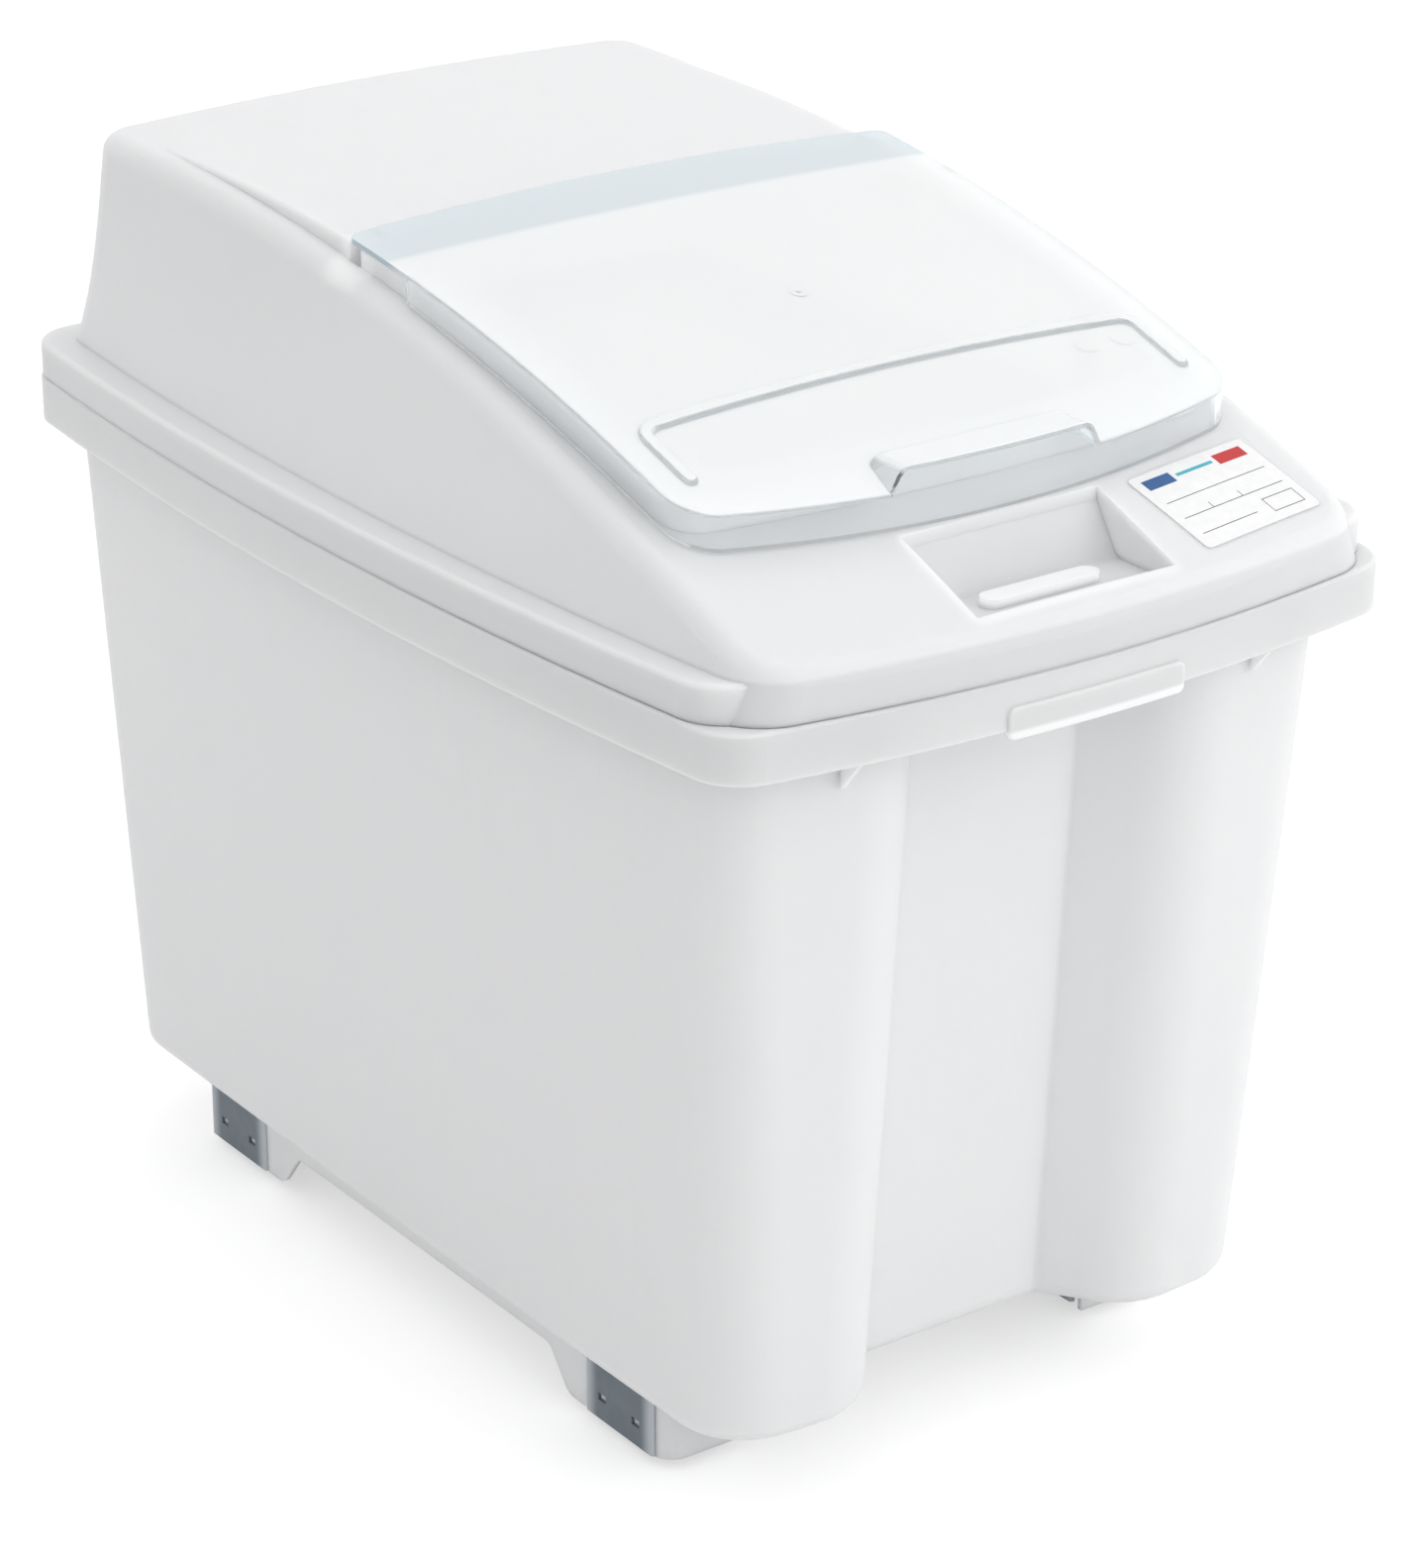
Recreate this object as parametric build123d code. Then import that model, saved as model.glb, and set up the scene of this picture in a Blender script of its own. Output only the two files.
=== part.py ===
from build123d import *
import os
from math import hypot, sqrt

# Rolling ingredient bin: tub on four wheels, lift-off hood, clear hinged cover.
# Millimetres, +Z up, the front faces -Y, the floor is Z = 0.

# Tub rim, seen from above: a rectangle with bowed edges and round corners; the length counts the grip
RIM_LENGTH = 702.0
RIM_WIDTH = 456.0
RIM_SIDE_BOW = 19.0
RIM_FRONT_BOW = 20.0
RIM_REAR_BOW = 4.0
RIM_CORNER = 29.0
RIM_TOP = 466.0
RIM_BAND_HEIGHT = 26.0
RIM_OVERHANG = 21.6
RIM_THICKNESS = 3.0
RIM_EDGE = 2.0
UPSTAND_HEIGHT = 10.0
UPSTAND_INSET = 6.0

# Finger grip in the front rim and the gussets beside it
GRIP_HALF_WIDTH = 55.0
GRIP_DROP = 5.0
GRIP_HEIGHT = 17.0
GRIP_PROUD = 2.2
GRIP_CORNER = 4.0
GRIP_EDGE = 1.5
GUSSET_OFFSET = 38.0
GUSSET_DROP = 22.0
GUSSET_THICKNESS = 3.0

# Tub body, its base set in from the rim
TUB_WALL = 3.5
TUB_FLOOR = 4.0
TUB_BOTTOM = 46.0
TUB_TOP_SIDE_BOW = 10.0
TUB_TOP_FRONT_CORNER = 39.0
TUB_TOP_REAR_CORNER = 22.0
BASE_SIDE_SETBACK = 47.5
BASE_SIDE_BOW = 2.0
BASE_FRONT_SETBACK = 56.8
BASE_FRONT_BOW = 8.0
BASE_REAR_SETBACK = 30.0
BASE_REAR_BOW = 3.0
BASE_FRONT_CORNER = 44.0
BASE_REAR_CORNER = 28.0
BASE_ROUNDING = 12.0

# Recessed front panel between the two front columns
COLUMN_WIDTH = 88.5
COLUMN_SLOPE_TOP = 38.0
COLUMN_SLOPE_BOTTOM = 34.0
COLUMN_RADIUS = 45.0
PANEL_DEPTH_TOP = 51.2
PANEL_DEPTH_BOTTOM = 47.0
PANEL_ROOT_RADIUS = 5.0

# Plinth and feet under the tub
PLINTH_SIDE_SETBACK = 16.0
PLINTH_FRONT_SETBACK = 76.5
PLINTH_REAR_SETBACK = 65.0
PLINTH_WALL = 3.0
PLINTH_CORNER = 14.0
PLINTH_SKIRT_BOTTOM = 29.0
FOOT_BOTTOM = 6.0
FOOT_WIDTH = 47.5
FOOT_CURVE = 10.0
FOOT_RUN = 36.0

# Wheels, axles and the carriers that hold them
WHEEL_RADIUS = 20.0
WHEEL_WIDTH = 25.0
WHEEL_SETBACK = 23.5
FRONT_WHEEL_SETBACK = 41.5
REAR_WHEEL_SETBACK = 36.0
HUB_RADIUS = 14.5
HUB_BOSS_RADIUS = 7.5
HUB_RIM = 3.0
HUB_WEB = 6.0
HUB_DRAFT = 1.5
TYRE_CROWN = 2.0
TYRE_FIT = 0.05
TYRE_INSET = 0.5
AXLE_RADIUS = 4.0
AXLE_RUNNING_FIT = 0.08
AXLE_SEAT_FIT = 0.03
AXLE_SEAT_DEPTH = 6.0
CARRIER_LENGTH = 62.0
CARRIER_WALL = 3.0
CARRIER_BOSS_RADIUS = 9.0
CARRIER_PROUD = 1.2
CARRIER_DEPTH = 46.5
CARRIER_END_BOTTOM = 20.0
CARRIER_EDGE = 2.0
WHEEL_SIDE_GAP = 0.6
CAP_RADIUS = 8.0
CAP_THICKNESS = 4.0
CAP_BORE_DEPTH = 2.6
SNAP_SPACING = 31.0
SNAP_WINDOW_WIDTH = 7.0
SNAP_WINDOW_HEIGHT = 4.6
SNAP_HEIGHT = 19.5
SNAP_TONGUE = 3.0
SNAP_TONGUE_HALF = 5.0
SNAP_CLEARANCE = 0.4

# Lid: flange on the rim, then a flared hood drawn through a foot and three levels above the rim
LID_INSET = 0.8
LID_WALL = 3.0
FLANGE_HEIGHT = 20.0
FLANGE_EDGE = 2.5
FLANGE_FRONT_SETBACK = 14.0
FLANGE_FRONT_SOLID = 46.0
HOOD_FOOT_INSET = 11.0
HOOD_LOW_RISE = 54.0
HOOD_LOW_INSET = 30.0
HOOD_LOW_BOW = 13.0
HOOD_LOW_FRONT = 3.8
HOOD_LOW_REAR = 21.0
HOOD_MID_RISE = 94.0
HOOD_MID_INSET = 41.5
HOOD_MID_BOW = 4.0
HOOD_MID_FRONT = 8.8
HOOD_MID_REAR = 28.0
HOOD_OVERRUN = 20.0
HOOD_TOP_INSET = 49.0
HOOD_TOP_BOW = 1.5
HOOD_TOP_FRONT = 16.8
HOOD_TOP_REAR = 37.0
HOOD_FRONT_CORNER = 36.0
HOOD_REAR_CORNER = 22.0
SHOULDER_RADIUS = 12.0
HOOD_RIB_SETBACK = 236.8
HOOD_RIB_DEPTH = 10.0
HOOD_RIB_THICKNESS = 2.5
HOOD_RIB_LIFT = 4.0

# Roof: an arc from front to rear, slightly crowned from side to side
ROOF_RISE = 142.0
ROOF_FRONT_DROP = 123.27
ROOF_APEX_SETBACK = 76.0
ROOF_CROWN = 3.0
ROOF_CROWN_HALF = 170.0

# Raised seat for the cover, and the opening in it
SEAT_APEX_OVER = 1.7
SEAT_APEX_LEAD = 87.0
SEAT_FRONT_DROP = 80.75
SEAT_SIDE_SETBACK = 60.0
SEAT_FRONT_SETBACK = 105.8
SEAT_FRONT_BOW = 12.0
SEAT_REAR_BOW = 4.0
SEAT_CORNER = 20.0
SEAT_EDGE = 2.5
MOUTH_SIDE_LAND = 18.0
MOUTH_FRONT_LAND = 15.0
MOUTH_FRONT_BOW = 10.0
MOUTH_REAR_LAND = 4.0
MOUTH_CORNER = 25.0
COAMING_WIDTH = 4.0
COAMING_HEIGHT = 2.6

# Hinge well, wider behind the hinge for the cover's rear corners to swing down; hinge blocks and pins
HINGE_LEAD = 5.0
HINGE_DROP = 4.0
WELL_LEAD = 35.0
WELL_SIDE_LAND = 10.0
WELL_DEPTH = 18.5
WELL_REAR_GAP = 6.0
WELL_CORNER = 4.0
SWING_SIDE_GAP = 1.0
BLOCK_LEAD = 9.0
BLOCK_NOSE_GAP = 0.3
BLOCK_TOP_GAP = 0.6
BLOCK_SETBACK = 3.2
BLOCK_BACKING = 8.0
PIN_RADIUS = 2.0
PIN_RUNNING_FIT = 0.08
PIN_SEAT_FIT = 0.02
PIN_SEAT = 5.5
PIN_REACH = 5.2
PIN_END_GAP = 0.3

# Clear cover
COVER_SIDE_OVERHANG = 5.0
COVER_THICKNESS = 3.0
COVER_LIFT = 3.0
COVER_FRONT_OVERHANG = 28.0
COVER_FRONT_BOW = 24.0
COVER_FRONT_CORNER = 28.0
COVER_REAR = 54.0
COVER_REAR_BOW = 7.0
COVER_REAR_CORNER = 7.0
SKIRT_GAP = 2.0
SKIRT_LEAD = 51.0
EAR_RADIUS = 5.0
EAR_THICKNESS = 4.0
EAR_SIDE_GAP = 0.5
BEAD_SIDE_INSET = 15.0
BEAD_RUN = 94.0
BEAD_BOW = 4.0
BEAD_ARM_END = 43.0
BEAD_WIDTH = 8.0
BEAD_HEIGHT = 2.6
BEAD_CORNER = 14.0
BEAD_EDGE = 2.2
PULL_HALF_WIDTH = 70.0
PULL_TOP_HALF_WIDTH = 60.0
PULL_HEIGHT = 14.0
PULL_DEPTH = 28.0
PULL_CORNER = 10.0
PULL_EDGE = 2.5
GATE_RUN = 168.0
GATE_RADIUS = 5.0
GATE_HEIGHT = 0.3
GATE_PIP_RADIUS = 1.3
GATE_PIP_HEIGHT = 0.8
EJECTOR_INSET = 47.0
EJECTOR_SPACING = 24.0
EJECTOR_RUN = 75.0
EJECTOR_RADIUS = 6.5
EJECTOR_HEIGHT = 0.25

# Finger pocket and label on the front deck
POCKET_HALF_WIDTH = 62.0
POCKET_SETBACK = 17.8
POCKET_LENGTH = 61.0
POCKET_RISE = 19.0
POCKET_FLAT = 44.0
POCKET_WALL = 3.0
POCKET_LIP = 4.0
POCKET_CURVE = 8.0
PAD_HALF_LENGTH = 36.0
PAD_WIDTH = 13.0
PAD_HEIGHT = 5.0
PAD_SETBACK = 29.0
LABEL_LENGTH = 86.0
LABEL_WIDTH = 56.0
LABEL_CORNER = 3.0
LABEL_INSET = 42.0
LABEL_SETBACK = 55.8
LABEL_TURN = 8.0
LABEL_THICKNESS = 0.3
LABEL_GAP = 0.05

# How far cutting shapes run past the faces they cut
HEAD_ROOM = 200.0
OVERCUT = 60.0

# Places that follow from the sizes above
RIM_HALF = RIM_WIDTH / 2
RIM_FRONT = -RIM_LENGTH / 2 + GRIP_PROUD
RIM_REAR = RIM_LENGTH / 2
RIM_BOTTOM = RIM_TOP - RIM_BAND_HEIGHT
TUB_TOP = RIM_TOP + UPSTAND_HEIGHT
BASE_HALF_WIDTH = RIM_HALF - BASE_SIDE_SETBACK
BASE_FRONT = RIM_FRONT + BASE_FRONT_SETBACK
BASE_REAR = RIM_REAR - BASE_REAR_SETBACK
COLUMN_EDGE = BASE_HALF_WIDTH - COLUMN_WIDTH
GUSSET_X = COLUMN_EDGE + GUSSET_OFFSET
PANEL_HALF_TOP = COLUMN_EDGE - COLUMN_SLOPE_TOP
PANEL_HALF_BOTTOM = COLUMN_EDGE - COLUMN_SLOPE_BOTTOM
PANEL_Y_TOP = RIM_FRONT + RIM_OVERHANG + PANEL_DEPTH_TOP
PANEL_Y_BOTTOM = BASE_FRONT + PANEL_DEPTH_BOTTOM
PLINTH_HALF_WIDTH = BASE_HALF_WIDTH - PLINTH_SIDE_SETBACK
PLINTH_FRONT = BASE_FRONT + PLINTH_FRONT_SETBACK
PLINTH_REAR = BASE_REAR - PLINTH_REAR_SETBACK
FOOT_INNER_X = PLINTH_HALF_WIDTH - FOOT_WIDTH
WHEEL_X = PLINTH_HALF_WIDTH - WHEEL_SETBACK
FRONT_WHEEL_Y = PLINTH_FRONT + FRONT_WHEEL_SETBACK
REAR_WHEEL_Y = PLINTH_REAR - REAR_WHEEL_SETBACK
CARRIER_INNER_X = PLINTH_HALF_WIDTH - CARRIER_DEPTH
CARRIER_OUTER_X = PLINTH_HALF_WIDTH + CARRIER_PROUD
AXLE_Z = WHEEL_RADIUS
FLANGE_TOP = RIM_TOP + FLANGE_HEIGHT
ROOF_APEX_Y = RIM_REAR - ROOF_APEX_SETBACK
ROOF_APEX_Z = RIM_TOP + ROOF_RISE
ROOF_HIGH = ROOF_APEX_Z + OVERCUT
SEAT_APEX_Y = ROOF_APEX_Y - SEAT_APEX_LEAD
SEAT_APEX_Z = ROOF_APEX_Z + SEAT_APEX_OVER
SEAT_HALF_WIDTH = RIM_HALF - SEAT_SIDE_SETBACK
SEAT_FRONT = RIM_FRONT + SEAT_FRONT_SETBACK
SEAT_REAR = ROOF_APEX_Y
COVER_HALF_WIDTH = SEAT_HALF_WIDTH + COVER_SIDE_OVERHANG
COVER_FRONT = SEAT_FRONT - COVER_FRONT_OVERHANG
HINGE_Y = COVER_REAR - HINGE_LEAD
WELL_FRONT = HINGE_Y - WELL_LEAD
WELL_REAR = COVER_REAR + WELL_REAR_GAP
WELL_HALF_WIDTH = SEAT_HALF_WIDTH - WELL_SIDE_LAND
SWING_HALF_WIDTH = SEAT_HALF_WIDTH + SWING_SIDE_GAP
MOUTH_HALF_WIDTH = SEAT_HALF_WIDTH - MOUTH_SIDE_LAND
MOUTH_FRONT = SEAT_FRONT + MOUTH_FRONT_LAND
MOUTH_REAR = WELL_FRONT - MOUTH_REAR_LAND
BLOCK_FRONT = HINGE_Y - BLOCK_LEAD
SKIRT_REAR = HINGE_Y - SKIRT_LEAD
BEAD_HALF_WIDTH = COVER_HALF_WIDTH - BEAD_SIDE_INSET
BEAD_Y = COVER_FRONT + BEAD_RUN
BEAD_FRONT = COVER_FRONT + BEAD_ARM_END
POCKET_FRONT = RIM_FRONT + POCKET_SETBACK
POCKET_REAR = POCKET_FRONT + POCKET_LENGTH
POCKET_FLOOR = RIM_TOP + POCKET_RISE
PAD_Y = POCKET_FRONT + PAD_SETBACK
LABEL_X = SEAT_HALF_WIDTH - LABEL_INSET
LABEL_Y = RIM_FRONT + LABEL_SETBACK
HOOD_RIB_Y = RIM_FRONT + HOOD_RIB_SETBACK
# Each level of the hood: rise over the rim, inset at the sides, side bow, inset at the front and at the rear
HOOD_LEVELS = [
    (HOOD_LOW_RISE, HOOD_LOW_INSET, HOOD_LOW_BOW, HOOD_LOW_FRONT, HOOD_LOW_REAR),
    (HOOD_MID_RISE, HOOD_MID_INSET, HOOD_MID_BOW, HOOD_MID_FRONT, HOOD_MID_REAR),
    (ROOF_RISE + HOOD_OVERRUN, HOOD_TOP_INSET, HOOD_TOP_BOW, HOOD_TOP_FRONT, HOOD_TOP_REAR),
]


def arc_radius(run, drop):
    """Radius of an arc that falls by drop over a run that starts level."""
    return (run ** 2 + drop ** 2) / (2 * drop)


def arc_height(y, apex_y, apex_z, radius):
    """Height of a roof arc above the floor, at the roof's crown-half line."""
    return apex_z - radius + sqrt(radius ** 2 - (y - apex_y) ** 2)


ROOF_RADIUS = arc_radius(ROOF_APEX_Y - RIM_FRONT, ROOF_FRONT_DROP)
SEAT_RADIUS = arc_radius(SEAT_APEX_Y - COVER_FRONT, SEAT_FRONT_DROP)
HINGE_Z = arc_height(HINGE_Y, SEAT_APEX_Y, SEAT_APEX_Z, SEAT_RADIUS) + COVER_LIFT - HINGE_DROP
WELL_FLOOR = HINGE_Z - WELL_DEPTH


def bowed(half_width, side_bow, front, front_bow, rear, rear_bow, front_corner, rear_corner):
    """Plan outline with four bowed edges; the bows are measured at the middle of each edge."""
    end = half_width - side_bow
    corner_front = front + front_bow
    corner_rear = rear - rear_bow
    middle = (front + rear) / 2
    edges = [
        ThreePointArc((-end, corner_rear), (-half_width, middle), (-end, corner_front)),
        ThreePointArc((-end, corner_front), (0, front), (end, corner_front)),
        ThreePointArc((end, corner_front), (half_width, middle), (end, corner_rear)),
        ThreePointArc((end, corner_rear), (0, rear), (-end, corner_rear)),
    ]
    face = make_face(edges)
    face = fillet(face.vertices().sort_by(Axis.Y)[:2], front_corner)
    return fillet(face.vertices().sort_by(Axis.Y)[-2:], rear_corner)


def tub_outline(half_width, side_bow, front, front_bow, rear, rear_bow, corner_radii, panel_half, panel_y,
                inset=0.0):
    """Plan outline of the tub: bowed edges, with the front panel set back between two columns."""
    end = half_width - side_bow - inset
    corner_front = front + front_bow + inset
    corner_rear = rear - rear_bow - inset
    middle = (front + rear) / 2
    front_radius = (end ** 2 + front_bow ** 2) / (2 * front_bow)

    def front_y(x):
        return front + inset + front_radius - sqrt(front_radius ** 2 - x ** 2)

    # The sloping sides of the columns move sideways when the outline is drawn further in
    run = COLUMN_EDGE - panel_half
    rise = panel_y - front_y(COLUMN_EDGE) + inset
    shift = inset * (hypot(run, rise) - run) / rise
    edge_x = COLUMN_EDGE + shift
    panel_x = panel_half + shift
    panel_in = panel_y + inset
    column_mid = (end + edge_x) / 2
    column_y = front_y(edge_x)
    side_x = half_width - inset
    edges = [
        ThreePointArc((-end, corner_rear), (-side_x, middle), (-end, corner_front)),
        ThreePointArc((-end, corner_front), (-column_mid, front_y(column_mid)), (-edge_x, column_y)),
        Line((-edge_x, column_y), (-panel_x, panel_in)),
        Line((-panel_x, panel_in), (panel_x, panel_in)),
        Line((panel_x, panel_in), (edge_x, column_y)),
        ThreePointArc((edge_x, column_y), (column_mid, front_y(column_mid)), (end, corner_front)),
        ThreePointArc((end, corner_front), (side_x, middle), (end, corner_rear)),
        ThreePointArc((end, corner_rear), (0, rear - inset), (-end, corner_rear)),
    ]
    face = make_face(edges)

    def corners(x, y):
        return face.vertices().filter_by(lambda v: abs(abs(v.X) - x) < 0.01 and abs(v.Y - y) < 0.01)

    face = fillet(corners(panel_x, panel_in), PANEL_ROOT_RADIUS + inset)
    face = fillet(corners(edge_x, column_y), COLUMN_RADIUS - inset)
    face = fillet(corners(end, corner_front), corner_radii[0] - inset)
    return fillet(corners(end, corner_rear), corner_radii[1] - inset)


def under_roof(apex_y, apex_z, radius, lift=0.0):
    """Solid below a roof arc that runs front to rear and is crowned from side to side."""
    half = RIM_HALF + OVERCUT / 3
    crown_radius = ROOF_CROWN_HALF ** 2 / (2 * ROOF_CROWN)
    top = apex_z + ROOF_CROWN + lift
    edge = top - half ** 2 / (2 * crown_radius)
    low = apex_z - HEAD_ROOM - ROOF_CROWN
    profile = make_face([
        ThreePointArc((-half, apex_y, edge), (0, apex_y, top), (half, apex_y, edge)),
        Line((half, apex_y, edge), (half, apex_y, low)),
        Line((half, apex_y, low), (-half, apex_y, low)),
        Line((-half, apex_y, low), (-half, apex_y, edge)),
    ])
    axle = Axis((0, apex_y, apex_z - radius), (1, 0, 0))
    return revolve(profile.rotate(axle, -15), axle, 45)


def roof(lift=0.0):
    return under_roof(ROOF_APEX_Y, ROOF_APEX_Z, ROOF_RADIUS, lift)


def seat_roof(lift=0.0):
    return under_roof(SEAT_APEX_Y, SEAT_APEX_Z, SEAT_RADIUS, lift)


def raised(sketch, bottom, top):
    """Straight prism of a plan outline between two heights."""
    return extrude(Pos(0, 0, bottom) * sketch, top - bottom)


def across(points, half_width, radius=0.0, rounded=()):
    """Prism along X of an outline given as (y, z) points; the listed corners are rounded."""
    face = make_face(Polyline(*[(0, y, z) for y, z in points], close=True))
    if radius:
        wanted = [points[i] for i in rounded]
        marks = face.vertices().filter_by(
            lambda v: any(abs(v.Y - y) < 0.01 and abs(v.Z - z) < 0.01 for y, z in wanted))
        face = fillet(marks, radius)
    return extrude(face, half_width, dir=(1, 0, 0), both=True)


def rod(radius, x_start, x_end, y, z):
    """Round bar along X."""
    length = x_end - x_start
    return Pos((x_start + x_end) / 2, y, z) * Rot(0, 90, 0) * Cylinder(radius, length)


def block(x_start, x_end, y_start, y_end, z_start, z_end):
    centre = ((x_start + x_end) / 2, (y_start + y_end) / 2, (z_start + z_end) / 2)
    return Pos(*centre) * Box(abs(x_end - x_start), abs(y_end - y_start), abs(z_end - z_start))


def rim_outline(inset=0.0):
    return bowed(RIM_HALF - inset, RIM_SIDE_BOW, RIM_FRONT + inset, RIM_FRONT_BOW,
                 RIM_REAR - inset, RIM_REAR_BOW, RIM_CORNER - inset, RIM_CORNER - inset)


def tub_top_outline(inset=0.0):
    return tub_outline(RIM_HALF - RIM_OVERHANG, TUB_TOP_SIDE_BOW, RIM_FRONT + RIM_OVERHANG, RIM_FRONT_BOW,
                       RIM_REAR - RIM_OVERHANG, RIM_REAR_BOW, (TUB_TOP_FRONT_CORNER, TUB_TOP_REAR_CORNER),
                       PANEL_HALF_TOP, PANEL_Y_TOP, inset)


def tub_base_outline(inset=0.0):
    return tub_outline(BASE_HALF_WIDTH, BASE_SIDE_BOW, BASE_FRONT, BASE_FRONT_BOW,
                       BASE_REAR, BASE_REAR_BOW, (BASE_FRONT_CORNER, BASE_REAR_CORNER),
                       PANEL_HALF_BOTTOM, PANEL_Y_BOTTOM, inset)


# The four wheel stations: name, side (-1 left, +1 right) and place along Y
STATIONS = [
    ("front_left", -1, FRONT_WHEEL_Y),
    ("front_right", 1, FRONT_WHEEL_Y),
    ("rear_left", -1, REAR_WHEEL_Y),
    ("rear_right", 1, REAR_WHEEL_Y),
]


def at_station(side, y, right_hand_part):
    """Place a part drawn for the right side, at Y = 0, on its own side of the bin."""
    moved = Pos(0, y, 0) * right_hand_part
    return moved if side > 0 else mirror(moved, about=Plane.YZ)


def make_tub():
    outer = loft([Pos(0, 0, TUB_BOTTOM) * tub_base_outline(),
                  Pos(0, 0, TUB_TOP) * tub_top_outline()], ruled=True)
    outer = fillet(outer.faces().sort_by(Axis.Z)[0].edges(), BASE_ROUNDING)
    outer -= raised(rim_outline(), RIM_TOP, ROOF_HIGH)
    inner = loft([Pos(0, 0, TUB_BOTTOM + TUB_FLOOR) * tub_base_outline(TUB_WALL),
                  Pos(0, 0, TUB_TOP) * tub_top_outline(TUB_WALL)], ruled=True)
    inner = fillet(inner.faces().sort_by(Axis.Z)[0].edges(), BASE_ROUNDING - TUB_WALL)

    # Turned-down rim: a flat top and a band that hangs from its edge
    rim = raised(rim_outline(), RIM_BOTTOM, RIM_TOP)
    rim = fillet(rim.faces().sort_by(Axis.Z)[-1].edges(), RIM_EDGE)
    rim -= raised(rim_outline(RIM_THICKNESS), RIM_BOTTOM, RIM_TOP - RIM_THICKNESS)
    grip_low = RIM_BOTTOM - GRIP_DROP
    grip = raised(offset(rim_outline(), GRIP_PROUD), grip_low, grip_low + GRIP_HEIGHT)
    grip -= raised(rim_outline(RIM_THICKNESS), grip_low, RIM_TOP)
    grip_high = grip_low + GRIP_HEIGHT
    window = make_face(Polyline((-GRIP_HALF_WIDTH, 0, grip_low), (GRIP_HALF_WIDTH, 0, grip_low),
                                (GRIP_HALF_WIDTH, 0, grip_high), (-GRIP_HALF_WIDTH, 0, grip_high),
                                close=True))
    grip &= extrude(fillet(window.vertices(), GRIP_CORNER), RIM_LENGTH, dir=(0, -1, 0))
    grip_front = [e for e in grip.edges()
                  if e.center().Y < RIM_FRONT - 0.5 and abs(e.tangent_at(0.5).Y) < 0.9]
    grip = fillet(grip_front, GRIP_EDGE)
    tub = outer + rim + grip

    # Gussets between the front wall and the band
    for side in (-1, 1):
        edge = RIM_FRONT + RIM_OVERHANG / 2
        wedge = across([(edge, RIM_TOP - 1), (edge, RIM_BOTTOM + 4),
                        (edge + RIM_OVERHANG, RIM_BOTTOM - GUSSET_DROP),
                        (edge + RIM_OVERHANG * 1.25, RIM_TOP - 1)], GUSSET_THICKNESS / 2)
        tub += Pos(side * GUSSET_X, 0, 0) * wedge

    # Plinth: a thin ring, opened into arches between the four feet
    plinth_mid = (PLINTH_FRONT + PLINTH_REAR) / 2
    plinth_length = PLINTH_REAR - PLINTH_FRONT
    ring = RectangleRounded(2 * PLINTH_HALF_WIDTH, plinth_length, PLINTH_CORNER)
    ring -= RectangleRounded(2 * (PLINTH_HALF_WIDTH - PLINTH_WALL), plinth_length - 2 * PLINTH_WALL,
                             PLINTH_CORNER - PLINTH_WALL)
    plinth = raised(Pos(0, plinth_mid) * ring, FOOT_BOTTOM, TUB_BOTTOM + TUB_FLOOR / 2)
    arch_front = FRONT_WHEEL_Y + CARRIER_LENGTH / 2
    arch_rear = REAR_WHEEL_Y - CARRIER_LENGTH / 2
    arch = across([(arch_front, FOOT_BOTTOM - 1), (arch_front, FOOT_BOTTOM),
                   (arch_front + FOOT_RUN / 2, FOOT_BOTTOM),
                   (arch_front + FOOT_RUN, PLINTH_SKIRT_BOTTOM), (arch_rear - FOOT_RUN, PLINTH_SKIRT_BOTTOM),
                   (arch_rear - FOOT_RUN / 2, FOOT_BOTTOM), (arch_rear, FOOT_BOTTOM),
                   (arch_rear, FOOT_BOTTOM - 1)],
                  RIM_HALF, FOOT_CURVE, (2, 3, 4, 5))
    plinth -= arch
    plinth -= block(-FOOT_INNER_X, FOOT_INNER_X, PLINTH_FRONT - 1, PLINTH_REAR + 1,
                    0, TUB_BOTTOM + TUB_FLOOR)

    # Each foot opens on the outside for its carrier, and holds two snap tongues
    slot_half = CARRIER_LENGTH / 2 + SNAP_CLEARANCE
    tongue_x = CARRIER_OUTER_X - CARRIER_WALL - SNAP_CLEARANCE
    lug_half = SNAP_WINDOW_WIDTH / 2 - SNAP_CLEARANCE
    lug_rise = SNAP_WINDOW_HEIGHT / 2 - SNAP_CLEARANCE
    tongues = []
    for name, side, y in STATIONS:
        gap = block(CARRIER_INNER_X, RIM_HALF, -slot_half, slot_half, 0, TUB_BOTTOM)
        plinth -= at_station(side, y, gap)
        for end in (-1, 1):
            centre = end * SNAP_SPACING / 2
            tongue = block(tongue_x - SNAP_TONGUE, tongue_x,
                           centre - SNAP_TONGUE_HALF, centre + SNAP_TONGUE_HALF,
                           SNAP_HEIGHT - SNAP_WINDOW_HEIGHT, TUB_BOTTOM + TUB_FLOOR / 2)
            tongue += block(tongue_x, CARRIER_OUTER_X - CARRIER_WALL / 2,
                            centre - lug_half, centre + lug_half,
                            SNAP_HEIGHT - lug_rise, SNAP_HEIGHT + lug_rise)
            tongues.append(at_station(side, y, tongue))
    tub += plinth
    for tongue in tongues:
        tub += tongue
    tub -= inner

    # Lip inside the mouth, with a low upstand that keeps the hood in place
    lip = raised(tub_top_outline(0.75 * TUB_WALL), RIM_TOP - RIM_THICKNESS, RIM_TOP)
    lip += raised(tub_top_outline(UPSTAND_INSET), RIM_TOP - RIM_THICKNESS, TUB_TOP)
    lip -= raised(tub_top_outline(UPSTAND_INSET + TUB_WALL), RIM_BOTTOM, ROOF_HIGH)
    return tub + lip


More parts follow.
